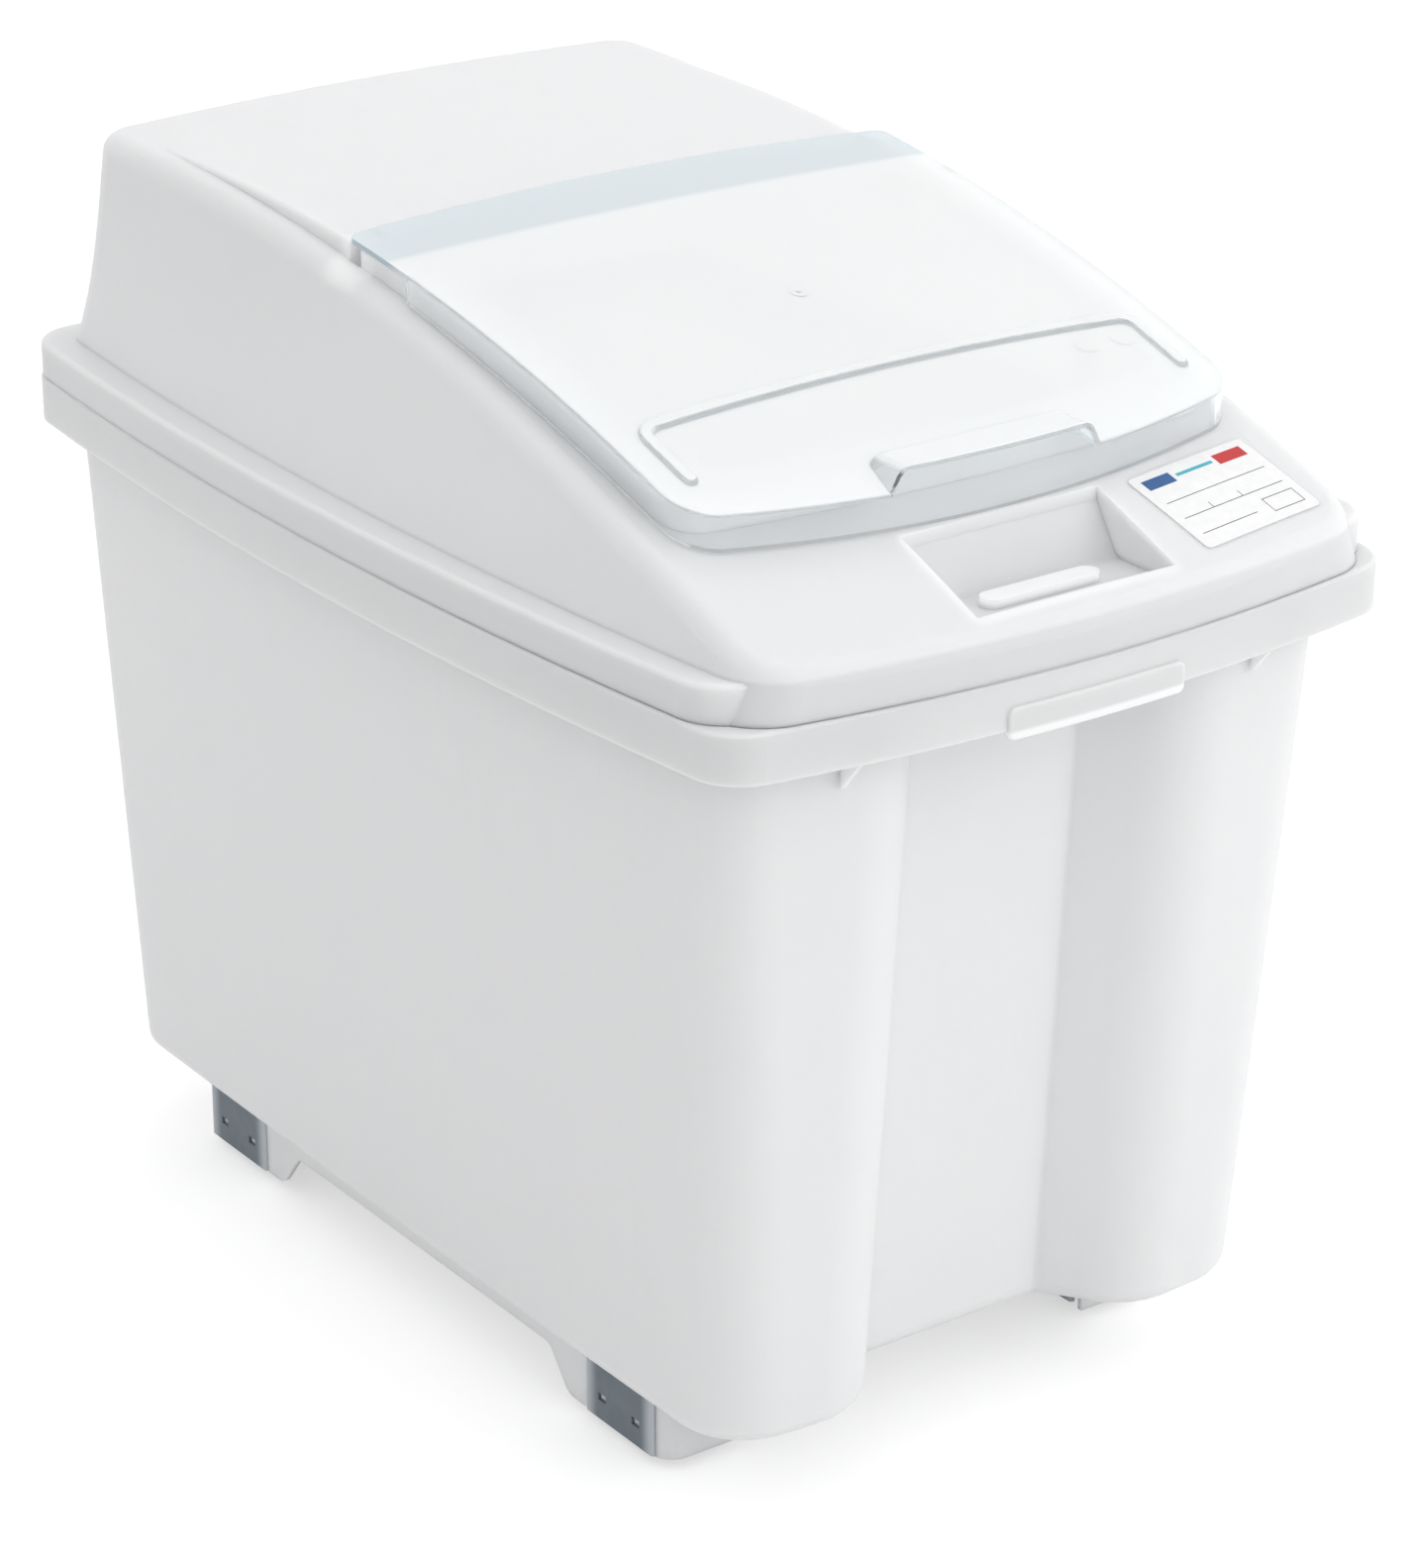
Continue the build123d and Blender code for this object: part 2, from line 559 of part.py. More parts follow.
def make_carrier():
    """Wheel housing, drawn for the right side: a box open below, with an axle boss on each side plate."""
    half = CARRIER_LENGTH / 2
    body = block(CARRIER_INNER_X, CARRIER_OUTER_X, -half, half, FOOT_BOTTOM, TUB_BOTTOM)
    body = fillet(body.edges().filter_by(Axis.Z), CARRIER_EDGE)
    room = block(CARRIER_INNER_X + CARRIER_WALL, CARRIER_OUTER_X - CARRIER_WALL, -half + CARRIER_WALL,
                 half - CARRIER_WALL, 0, TUB_BOTTOM - CARRIER_WALL)
    body -= room
    body -= block(CARRIER_INNER_X + CARRIER_WALL, CARRIER_OUTER_X - CARRIER_WALL, -half - 1, half + 1,
                  0, CARRIER_END_BOTTOM)
    boss_outer = WHEEL_X + WHEEL_WIDTH / 2 + WHEEL_SIDE_GAP
    boss_inner = WHEEL_X - WHEEL_WIDTH / 2 - WHEEL_SIDE_GAP
    body += rod(CARRIER_BOSS_RADIUS, boss_outer, CARRIER_OUTER_X - CARRIER_WALL, 0, AXLE_Z)
    body += rod(CARRIER_BOSS_RADIUS, CARRIER_INNER_X + CARRIER_WALL, boss_inner, 0, AXLE_Z)
    body -= rod(AXLE_RADIUS + AXLE_SEAT_FIT, CARRIER_INNER_X - 1, boss_outer + AXLE_SEAT_DEPTH, 0, AXLE_Z)
    tongue_x = CARRIER_OUTER_X - CARRIER_WALL - SNAP_CLEARANCE
    for end in (-1, 1):
        centre = end * SNAP_SPACING / 2
        half_width = SNAP_WINDOW_WIDTH / 2
        half_height = SNAP_WINDOW_HEIGHT / 2
        body -= block(CARRIER_OUTER_X - CARRIER_WALL - 1, CARRIER_OUTER_X + 1, centre - half_width,
                      centre + half_width, SNAP_HEIGHT - half_height, SNAP_HEIGHT + half_height)
        slot = SNAP_TONGUE_HALF + SNAP_CLEARANCE
        body -= block(tongue_x - SNAP_TONGUE - SNAP_CLEARANCE, CARRIER_OUTER_X - CARRIER_WALL,
                      centre - slot, centre + slot, TUB_BOTTOM - CARRIER_WALL - 1, TUB_BOTTOM + 1)
    return body


def make_axle():
    boss_outer = WHEEL_X + WHEEL_WIDTH / 2 + WHEEL_SIDE_GAP
    end = boss_outer + AXLE_SEAT_DEPTH - SNAP_CLEARANCE
    start = CARRIER_INNER_X - CAP_BORE_DEPTH
    axle = rod(AXLE_RADIUS, start, end, 0, AXLE_Z)
    return chamfer(axle.edges().filter_by(GeomType.CIRCLE), 0.5)


def make_cap():
    """Push-on cap over the inner end of an axle."""
    cap = rod(CAP_RADIUS, CARRIER_INNER_X - CAP_THICKNESS, CARRIER_INNER_X, 0, AXLE_Z)
    cap = fillet(cap.edges().sort_by(Axis.X)[0], 1.5)
    bore_start = CARRIER_INNER_X - CAP_BORE_DEPTH
    return cap - rod(AXLE_RADIUS + AXLE_SEAT_FIT, bore_start, CARRIER_INNER_X + 1, 0, AXLE_Z)


def turned(points):
    """Solid of revolution about the axle, from (x, radius) points."""
    profile = make_face(Polyline(*[(x, 0, AXLE_Z + r) for x, r in points], close=True))
    return revolve(profile, Axis((0, 0, AXLE_Z), (1, 0, 0)), 360)


def make_hub():
    half = WHEEL_WIDTH / 2
    rim_half = half - HUB_DRAFT
    bore = AXLE_RADIUS + AXLE_RUNNING_FIT
    inner_rim = HUB_RADIUS - HUB_RIM
    right = [(half, bore), (half, HUB_BOSS_RADIUS), (HUB_WEB / 2, HUB_BOSS_RADIUS + HUB_DRAFT),
             (HUB_WEB / 2, inner_rim - HUB_DRAFT), (rim_half, inner_rim), (rim_half, HUB_RADIUS)]
    left = [(-x, r) for x, r in reversed(right)]
    return turned([(WHEEL_X + x, r) for x, r in right + left])


def make_tyre():
    half = WHEEL_WIDTH / 2 - TYRE_INSET
    inside = HUB_RADIUS + TYRE_FIT
    shoulder = WHEEL_RADIUS - TYRE_CROWN
    right = [(half, inside), (half, shoulder), (half - TYRE_CROWN, WHEEL_RADIUS)]
    left = [(-x, r) for x, r in reversed(right)]
    return turned([(WHEEL_X + x, r) for x, r in right + left])


def hood_outline(level, inset=0.0):
    """Plan outline of the hood at one of its levels; level 0 is its foot on the rim."""
    if level == 0:
        half = RIM_HALF - HOOD_FOOT_INSET
        bow = RIM_SIDE_BOW
        front = RIM_FRONT + LID_INSET
        rear = RIM_REAR - HOOD_FOOT_INSET
    else:
        _, side_inset, bow, front_inset, rear_inset = HOOD_LEVELS[level - 1]
        half = RIM_HALF - side_inset
        front = RIM_FRONT + front_inset
        rear = RIM_REAR - rear_inset
    return bowed(half - inset, bow, front + inset, RIM_FRONT_BOW, rear - inset, RIM_REAR_BOW,
                 HOOD_FRONT_CORNER - inset, HOOD_REAR_CORNER - inset)


def hood_body(inset=0.0):
    """Hood as a solid: a smooth flare from the rim up to the roof."""
    sections = [Pos(0, 0, RIM_TOP) * hood_outline(0, inset)]
    for level, sizes in enumerate(HOOD_LEVELS, 1):
        sections.append(Pos(0, 0, RIM_TOP + sizes[0]) * hood_outline(level, inset))
    return loft(sections)


def flange_outline(inset=0.0):
    front = RIM_FRONT + FLANGE_FRONT_SETBACK
    lid_inset = LID_INSET + inset
    return bowed(RIM_HALF - lid_inset, RIM_SIDE_BOW, front + inset, RIM_FRONT_BOW, RIM_REAR - lid_inset,
                 RIM_REAR_BOW, RIM_CORNER - lid_inset, RIM_CORNER - lid_inset)


def seat_outline(inset=0.0):
    half = SEAT_HALF_WIDTH - inset
    front = SEAT_FRONT + inset
    rear = SEAT_REAR - inset
    edges = [
        Line((-half, rear - SEAT_REAR_BOW), (-half, front + SEAT_FRONT_BOW)),
        ThreePointArc((-half, front + SEAT_FRONT_BOW), (0, front), (half, front + SEAT_FRONT_BOW)),
        Line((half, front + SEAT_FRONT_BOW), (half, rear - SEAT_REAR_BOW)),
        ThreePointArc((half, rear - SEAT_REAR_BOW), (0, rear), (-half, rear - SEAT_REAR_BOW)),
    ]
    face = make_face(edges)
    return fillet(face.vertices(), SEAT_CORNER - inset)


def mouth_outline(grow=0.0):
    half = MOUTH_HALF_WIDTH + grow
    front = MOUTH_FRONT - grow
    rear = MOUTH_REAR + grow
    edges = [
        Line((-half, rear), (-half, front + MOUTH_FRONT_BOW)),
        ThreePointArc((-half, front + MOUTH_FRONT_BOW), (0, front), (half, front + MOUTH_FRONT_BOW)),
        Line((half, front + MOUTH_FRONT_BOW), (half, rear)),
        Line((half, rear), (-half, rear)),
    ]
    face = make_face(edges)
    return fillet(face.vertices(), MOUTH_CORNER + grow)


def well_outline(grow=0.0):
    half = WELL_HALF_WIDTH + grow
    front = WELL_FRONT - grow
    rear = WELL_REAR + grow
    edges = [
        Line((-half, rear), (-half, front)),
        Line((-half, front), (half, front)),
        Line((half, front), (half, rear)),
        ThreePointArc((half, rear), (0, rear + COVER_REAR_BOW), (-half, rear)),
    ]
    well = fillet(make_face(edges).vertices(), WELL_CORNER + grow)
    swing_front = HINGE_Y - grow
    swing = Rectangle(2 * (SWING_HALF_WIDTH + grow), rear - swing_front)
    return well + Pos(0, (swing_front + rear) / 2) * swing


def pocket_cut(grow=0.0):
    """Finger pocket: flat at the front, with a curved ramp up to the deck at the rear."""
    floor = POCKET_FLOOR - grow
    front = POCKET_FRONT - grow
    rear = POCKET_REAR + grow
    high = arc_height(POCKET_REAR, ROOF_APEX_Y, ROOF_APEX_Z, ROOF_RADIUS)
    over = high + OVERCUT
    points = [(front, over), (front, floor), (front + POCKET_FLAT + grow, floor), (rear, high - POCKET_LIP),
              (rear, over)]
    return across(points, POCKET_HALF_WIDTH + grow, POCKET_CURVE + grow, (2,))


def make_hood():
    outer = hood_body() & roof()
    top = outer.faces().sort_by(Axis.Z)[-1]
    outer = fillet(top.outer_wire().edges(), SHOULDER_RADIUS)
    seat = raised(seat_outline(), FLANGE_TOP, ROOF_HIGH) & seat_roof()
    outer += fillet(seat.faces().sort_by(Axis.Z)[-1].edges(), SEAT_EDGE)
    flange = raised(flange_outline(), RIM_TOP, FLANGE_TOP)
    flange = fillet(flange.faces().sort_by(Axis.Z)[-1].edges(), FLANGE_EDGE)
    channel = raised(flange_outline(LID_WALL), RIM_TOP, FLANGE_TOP - LID_WALL)
    channel -= hood_body()
    channel &= block(-RIM_WIDTH, RIM_WIDTH, RIM_FRONT + FLANGE_FRONT_SOLID, RIM_REAR, RIM_TOP, FLANGE_TOP)

    # The hollow inside, with the seat, the hinge well and the pocket keeping their own walls
    seat_room = raised(seat_outline(LID_WALL), RIM_TOP, ROOF_HIGH) & seat_roof(-LID_WALL)
    hollow = hood_body(LID_WALL) & roof(-LID_WALL)
    hollow_top = hollow.faces().sort_by(Axis.Z)[-1]
    hollow = fillet(hollow_top.outer_wire().edges(), SHOULDER_RADIUS - LID_WALL)
    hollow += hood_body(LID_WALL) & seat_room
    hollow -= raised(well_outline(LID_WALL), WELL_FLOOR - LID_WALL, ROOF_HIGH)
    hollow -= pocket_cut(POCKET_WALL)
    for side in (-1, 1):
        hollow -= block(side * WELL_HALF_WIDTH, side * (RIM_HALF - HOOD_TOP_INSET), BLOCK_FRONT - LID_WALL,
                        WELL_REAR + BLOCK_BACKING, WELL_FLOOR - LID_WALL, ROOF_HIGH)
        rib_edge = RIM_HALF - HOOD_MID_INSET - HOOD_RIB_DEPTH
        hollow -= block(side * rib_edge, side * RIM_HALF, HOOD_RIB_Y - HOOD_RIB_THICKNESS / 2,
                        HOOD_RIB_Y + HOOD_RIB_THICKNESS / 2, FLANGE_TOP + HOOD_RIB_LIFT, ROOF_HIGH)
    hood = outer + flange
    hood -= hollow
    hood -= channel

    # Coaming round the mouth, for the cover to close on
    coaming = raised(mouth_outline(COAMING_WIDTH), FLANGE_TOP, ROOF_HIGH)
    hood += coaming & (seat_roof(COAMING_HEIGHT) - seat_roof(-LID_WALL))
    hood -= raised(mouth_outline(), FLANGE_TOP, ROOF_HIGH)
    hood -= raised(well_outline(), WELL_FLOOR, ROOF_HIGH)
    hood -= pocket_cut()
    pad = SlotOverall(2 * PAD_HALF_LENGTH, PAD_WIDTH)
    hood += raised(Pos(0, PAD_Y) * pad, POCKET_FLOOR - 1, POCKET_FLOOR + PAD_HEIGHT)

    # Hinge blocks that hold the pins, with a round nose behind for the cover to turn about
    block_end = SEAT_HALF_WIDTH - BLOCK_SETBACK
    for side in (-1, 1):
        head = block(side * WELL_HALF_WIDTH, side * block_end, BLOCK_FRONT, HINGE_Y,
                     HINGE_Z - HINGE_DROP, ROOF_HIGH)
        head &= seat_roof(COVER_LIFT - BLOCK_TOP_GAP)
        nose = rod(HINGE_DROP - BLOCK_NOSE_GAP, WELL_HALF_WIDTH, block_end, HINGE_Y, HINGE_Z)
        head += nose if side > 0 else mirror(nose, about=Plane.YZ)
        hood += head
        bore = rod(PIN_RADIUS + PIN_SEAT_FIT, WELL_HALF_WIDTH - 1, WELL_HALF_WIDTH + PIN_SEAT,
                   HINGE_Y, HINGE_Z)
        hood -= bore if side > 0 else mirror(bore, about=Plane.YZ)
    return hood


def make_pin():
    pin = rod(PIN_RADIUS, WELL_HALF_WIDTH - PIN_REACH, WELL_HALF_WIDTH + PIN_SEAT - PIN_END_GAP,
              HINGE_Y, HINGE_Z)
    return chamfer(pin.edges().filter_by(GeomType.CIRCLE), 0.4)


def make_label():
    plan = Rot(0, 0, LABEL_TURN) * RectangleRounded(LABEL_LENGTH, LABEL_WIDTH, LABEL_CORNER)
    sheet = raised(Pos(LABEL_X, LABEL_Y) * plan, RIM_TOP, ROOF_APEX_Z)
    return sheet & (roof(LABEL_GAP + LABEL_THICKNESS) - roof(LABEL_GAP))


def cover_outline(inset=0.0):
    half = COVER_HALF_WIDTH - inset
    front = COVER_FRONT + inset
    edges = [
        Line((-half, COVER_REAR), (-half, front + COVER_FRONT_BOW)),
        ThreePointArc((-half, front + COVER_FRONT_BOW), (0, front), (half, front + COVER_FRONT_BOW)),
        Line((half, front + COVER_FRONT_BOW), (half, COVER_REAR)),
        ThreePointArc((half, COVER_REAR), (0, COVER_REAR + COVER_REAR_BOW), (-half, COVER_REAR)),
    ]
    face = make_face(edges)
    face = fillet(face.vertices().sort_by(Axis.Y)[:2], COVER_FRONT_CORNER - inset)
    return fillet(face.vertices().sort_by(Axis.Y)[-2:], COVER_REAR_CORNER)


def pull_body(inset=0.0):
    """Raised pull at the front of the cover: a low arch, wider at its foot."""
    y_front = COVER_FRONT + inset
    base = arc_height(COVER_FRONT, SEAT_APEX_Y, SEAT_APEX_Z, SEAT_RADIUS) + COVER_LIFT
    top = base + COVER_THICKNESS + ROOF_CROWN + PULL_HEIGHT - inset
    foot = PULL_HALF_WIDTH - inset
    head = PULL_TOP_HALF_WIDTH - inset
    low = RIM_TOP
    face = make_face(Polyline((-foot, 0, low), (-foot, 0, base), (-head, 0, top), (head, 0, top),
                              (foot, 0, base), (foot, 0, low), close=True))
    face = fillet(face.vertices().sort_by(Axis.Z)[-2:], PULL_CORNER - inset)
    arch = extrude(Pos(0, y_front - OVERCUT, 0) * face, PULL_DEPTH + OVERCUT - 2 * inset, dir=(0, 1, 0))
    pull = arch & raised(cover_outline(inset), low, ROOF_HIGH)
    if inset:
        return pull
    ends = [e for e in pull.edges() if e.center().Z > base + 1 and abs(e.tangent_at(0.5).Y) < 0.7]
    return fillet(ends, PULL_EDGE)


def make_cover():
    seat_under = COVER_LIFT
    seat_over = COVER_LIFT + COVER_THICKNESS
    plan = raised(cover_outline(), RIM_TOP, ROOF_HIGH)
    pull = pull_body()
    outer = (plan & seat_roof(seat_over)) + pull
    behind = COVER_REAR + OVERCUT
    open_plan = cover_outline(COVER_THICKNESS)
    open_plan += Pos(0, (SKIRT_REAR + behind) / 2) * Rectangle(RIM_WIDTH, behind - SKIRT_REAR)
    inner = raised(open_plan, RIM_TOP - 1, ROOF_HIGH) & seat_roof(seat_under)
    inner += pull_body(COVER_THICKNESS)
    cover = outer - inner - roof(SKIRT_GAP)

    # Raised U-shaped bead on the panel
    bead_in = BEAD_HALF_WIDTH - BEAD_WIDTH
    band = make_face([
        Line((-BEAD_HALF_WIDTH, BEAD_FRONT), (-BEAD_HALF_WIDTH, BEAD_Y)),
        ThreePointArc((-BEAD_HALF_WIDTH, BEAD_Y), (0, BEAD_Y + BEAD_BOW), (BEAD_HALF_WIDTH, BEAD_Y)),
        Line((BEAD_HALF_WIDTH, BEAD_Y), (BEAD_HALF_WIDTH, BEAD_FRONT)),
        Line((BEAD_HALF_WIDTH, BEAD_FRONT), (bead_in, BEAD_FRONT)),
        Line((bead_in, BEAD_FRONT), (bead_in, BEAD_Y - BEAD_WIDTH)),
        ThreePointArc((bead_in, BEAD_Y - BEAD_WIDTH), (0, BEAD_Y + BEAD_BOW - BEAD_WIDTH),
                      (-bead_in, BEAD_Y - BEAD_WIDTH)),
        Line((-bead_in, BEAD_Y - BEAD_WIDTH), (-bead_in, BEAD_FRONT)),
        Line((-bead_in, BEAD_FRONT), (-BEAD_HALF_WIDTH, BEAD_FRONT)),
    ])
    def band_corners(x, y):
        return band.vertices().filter_by(lambda v: abs(abs(v.X) - x) < 0.01 and abs(v.Y - y) < 0.01)

    band = fillet(band_corners(BEAD_HALF_WIDTH, BEAD_Y), BEAD_CORNER)
    band = fillet(band_corners(bead_in, BEAD_Y - BEAD_WIDTH), BEAD_CORNER - BEAD_WIDTH)
    band = fillet(band.vertices().filter_by(lambda v: abs(v.Y - BEAD_FRONT) < 0.01), BEAD_WIDTH / 2 - 0.2)
    bead = raised(band, RIM_TOP, ROOF_HIGH) & (seat_roof(seat_over + BEAD_HEIGHT) - seat_roof(seat_over - 1))
    bead_top = [f for f in bead.faces() if f.normal_at(f.center()).Z > 0.7][0]
    cover += fillet(bead_top.outer_wire().edges(), BEAD_EDGE)

    # Marks that moulding leaves on the panel: the gate in the middle, two ejector pads on the right
    ejector_x = COVER_HALF_WIDTH - EJECTOR_INSET
    marks = [
        (0, GATE_RUN, GATE_RADIUS, GATE_HEIGHT),
        (0, GATE_RUN, GATE_PIP_RADIUS, GATE_PIP_HEIGHT),
        (ejector_x - EJECTOR_SPACING / 2, EJECTOR_RUN, EJECTOR_RADIUS, EJECTOR_HEIGHT),
        (ejector_x + EJECTOR_SPACING / 2, EJECTOR_RUN, EJECTOR_RADIUS, EJECTOR_HEIGHT),
    ]
    for x, run, radius, height in marks:
        disc = raised(Pos(x, COVER_FRONT + run) * Circle(radius), RIM_TOP, ROOF_HIGH)
        cover += disc & (seat_roof(seat_over + height) - seat_roof(seat_over - 1))

    # Ears that turn on the pins
    ear_outer = WELL_HALF_WIDTH - EAR_SIDE_GAP
    for side in (-1, 1):
        ear = rod(EAR_RADIUS, ear_outer - EAR_THICKNESS, ear_outer, HINGE_Y, HINGE_Z)
        ear += block(ear_outer - EAR_THICKNESS, ear_outer, HINGE_Y - EAR_RADIUS, HINGE_Y + EAR_RADIUS - 1,
                     HINGE_Z, ROOF_HIGH)
        ear &= seat_roof(seat_over - 1)
        ear -= rod(PIN_RADIUS + PIN_RUNNING_FIT, ear_outer - EAR_THICKNESS - 1, ear_outer + 1,
                   HINGE_Y, HINGE_Z)
        cover += ear if side > 0 else mirror(ear, about=Plane.YZ)
    return cover


def build_nodes():
    pin = make_pin()
    nodes = {
        "tub_shell": make_tub(),
        "lid_hood": make_hood(),
        "clear_cover": make_cover(),
        "lid_label": make_label(),
        "cover_pin_left": mirror(pin, about=Plane.YZ),
        "cover_pin_right": pin,
    }
    carrier = make_carrier()
    axle = make_axle()
    hub = make_hub()
    tyre = make_tyre()
    cap = make_cap()
    caps = []
    for name, side, y in STATIONS:
        nodes["wheel_carrier_" + name] = at_station(side, y, carrier)
        nodes["axle_" + name] = at_station(side, y, axle)
        nodes["wheel_hub_" + name] = at_station(side, y, hub)
        nodes["wheel_tyre_" + name] = at_station(side, y, tyre)
        caps.append(at_station(side, y, cap))
    nodes["axle_caps"] = Compound(children=caps)
    return nodes


def main():
    os.makedirs("parts", exist_ok=True)
    for name, shape in build_nodes().items():
        shape.label = name
        export_step(shape, "parts/" + name + ".step")


main()
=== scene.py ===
import math

import bmesh
import bpy
from mathutils import Matrix, Vector
from mathutils.bvhtree import BVHTree


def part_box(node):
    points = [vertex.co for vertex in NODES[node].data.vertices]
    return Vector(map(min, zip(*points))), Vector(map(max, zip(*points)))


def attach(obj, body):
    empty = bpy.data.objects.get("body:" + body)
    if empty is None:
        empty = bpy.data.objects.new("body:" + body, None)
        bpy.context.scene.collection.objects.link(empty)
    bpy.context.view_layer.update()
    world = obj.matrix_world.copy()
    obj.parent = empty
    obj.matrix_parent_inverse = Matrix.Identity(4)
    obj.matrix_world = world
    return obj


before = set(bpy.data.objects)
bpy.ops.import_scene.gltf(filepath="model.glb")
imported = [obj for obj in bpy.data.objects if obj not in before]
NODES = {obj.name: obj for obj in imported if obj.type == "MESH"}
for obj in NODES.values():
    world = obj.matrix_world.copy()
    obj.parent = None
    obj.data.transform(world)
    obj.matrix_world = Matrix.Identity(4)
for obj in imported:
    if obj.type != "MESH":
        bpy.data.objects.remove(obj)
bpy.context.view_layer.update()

CORNERS = ("front_left", "front_right", "rear_left", "rear_right")

# Viewing angle
EYE = Vector((-1.4245, -2.015, 1.3374))
VIEW_RIGHT = Vector((0.8136, -0.5814, 0.0))
VIEW_UP = Vector((0.2305, 0.3226, 0.918))
VIEW_BACK = Vector((-0.5338, -0.7469, 0.3965))
LENS = 111.69
SENSOR = 36.0
SHIFT_Y = 0.0062

# Light levels
SKY_LEVEL = 0.86
SKY_TILT = 0.16
SKY_SIDE = (0.74, -0.10, 0.66)
FLOOR_HALF = 12.0
FLOOR_BOUNCE = 0.82
FLOOR_SEEN = 0.56
FLOOR_GLOW = 0.56

# Whites: how deep light goes in, how glossy they are, and where the painted shade of the rims begins and
# ends
WHITE_IOR = 1.49
WHITE_GLOSS = 0.20
GLOW_COLOUR = (1.0, 0.97, 0.92)
GLOW_DEPTH = 0.008
RIM_LOW = 0.441
RIM_HIGH = 0.470
FLANGE_HIGH = 0.4855
BAND_FADE = 0.003
SCUFF_LOW = 0.02
SCUFF_HIGH = 0.16
SCUFF_SHADE = 0.86

# Clear cover: the shaded hinge well under its rear is painted into its colour as a cool band
BAND_FRONT = 0.012
BAND_BLUR = 0.006
PAINTED_WELL_SHADE = (0.78, 0.845, 0.880)
SHEET_IOR = 1.50
SHEET_SHADOW = 0.12
SHEET_DEPTH_TINT = (0.66, 0.80, 0.87)
SHEET_DEPTH = 7.0
SKIRT_CLEAR = 0.97
PANEL_CLEAR = 0.30
SKIRT_LEVEL = 0.72
PANEL_LEVEL = 0.93

# Wheel carriers: the plate is blue-grey in the middle and milky at its ends
PLATE_PALE = (0.145, 0.176, 0.204)
PLATE_DEEP = (0.100, 0.128, 0.155)
PLATE_MILKY = (0.62, 0.66, 0.70)
PLATE_MIDDLE = 0.019
PLATE_END = 0.031

# Places of the colour sockets on a Mix node
MIX_UNDER = 6
MIX_OVER = 7
MIX_RESULT = 2


def new_material(name):
    """An empty material: its node tree, its Principled shader and its output."""
    material = bpy.data.materials.new(name)
    material.use_nodes = True
    tree = material.node_tree
    tree.nodes.clear()
    output = tree.nodes.new("ShaderNodeOutputMaterial")
    shader = tree.nodes.new("ShaderNodeBsdfPrincipled")
    tree.links.new(shader.outputs["BSDF"], output.inputs["Surface"])
    return material, tree, shader, output


def coordinates(tree, stretch=(1.0, 1.0, 1.0)):
    """Object coordinates in metres, stretched along the axes."""
    source = tree.nodes.new("ShaderNodeTexCoord")
    mapping = tree.nodes.new("ShaderNodeMapping")
    mapping.inputs["Scale"].default_value = stretch
    tree.links.new(source.outputs["Object"], mapping.inputs["Vector"])
    return mapping.outputs["Vector"]


def axis_value(tree, axis):
    """One object coordinate, in metres."""
    source = tree.nodes.new("ShaderNodeTexCoord")
    split = tree.nodes.new("ShaderNodeSeparateXYZ")
    tree.links.new(source.outputs["Object"], split.inputs["Vector"])
    return split.outputs[axis]


def noise(tree, vector, scale, detail=3.0, rough=0.5):
    texture = tree.nodes.new("ShaderNodeTexNoise")
    texture.inputs["Scale"].default_value = scale
    texture.inputs["Detail"].default_value = detail
    texture.inputs["Roughness"].default_value = rough
    tree.links.new(vector, texture.inputs["Vector"])
    return texture.outputs["Fac"]


def ramp(tree, value, stops):
    """Colours along value, given as (place, colour) stops."""
    node = tree.nodes.new("ShaderNodeValToRGB")
    bar = node.color_ramp.elements
    while len(bar) < len(stops):
        bar.new(0.5)
    for slot, (place, colour) in zip(bar, stops):
        slot.position = place
        slot.color = (*colour, 1.0)
    tree.links.new(value, node.inputs["Fac"])
    return node.outputs["Color"]


def spread(tree, value, low, high, start=0.0, end=1.0, smooth=False):
    """value from start to end becomes low to high."""
    node = tree.nodes.new("ShaderNodeMapRange")
    node.interpolation_type = "SMOOTHSTEP" if smooth else "LINEAR"
    node.inputs["From Min"].default_value = start
    node.inputs["From Max"].default_value = end
    node.inputs["To Min"].default_value = low
    node.inputs["To Max"].default_value = high
    tree.links.new(value, node.inputs["Value"])
    return node.outputs["Result"]


def math_node(tree, operation, first, second=0.0):
    node = tree.nodes.new("ShaderNodeMath")
    node.operation = operation
    for socket, item in zip(node.inputs, (first, second)):
        if isinstance(item, (int, float)):
            socket.default_value = item
        else:
            tree.links.new(item, socket)
    return node.outputs["Value"]


def blend_colour(tree, amount, under, over):
    """The colour under turns into the colour over as amount goes from 0 to 1."""
    node = tree.nodes.new("ShaderNodeMix")
    node.data_type = "RGBA"
    tree.links.new(amount, node.inputs["Factor"])
    for place, item in ((MIX_UNDER, under), (MIX_OVER, over)):
        if isinstance(item, tuple):
            node.inputs[place].default_value = (*item, 1.0)
        else:
            tree.links.new(item, node.inputs[place])
    return node.outputs[MIX_RESULT]


def bump(tree, height, distance, strength, under=None):
    node = tree.nodes.new("ShaderNodeBump")
    node.inputs["Strength"].default_value = strength
    node.inputs["Distance"].default_value = distance
    tree.links.new(height, node.inputs["Height"])
    if under is not None:
        tree.links.new(under, node.inputs["Normal"])
    return node.outputs["Normal"]


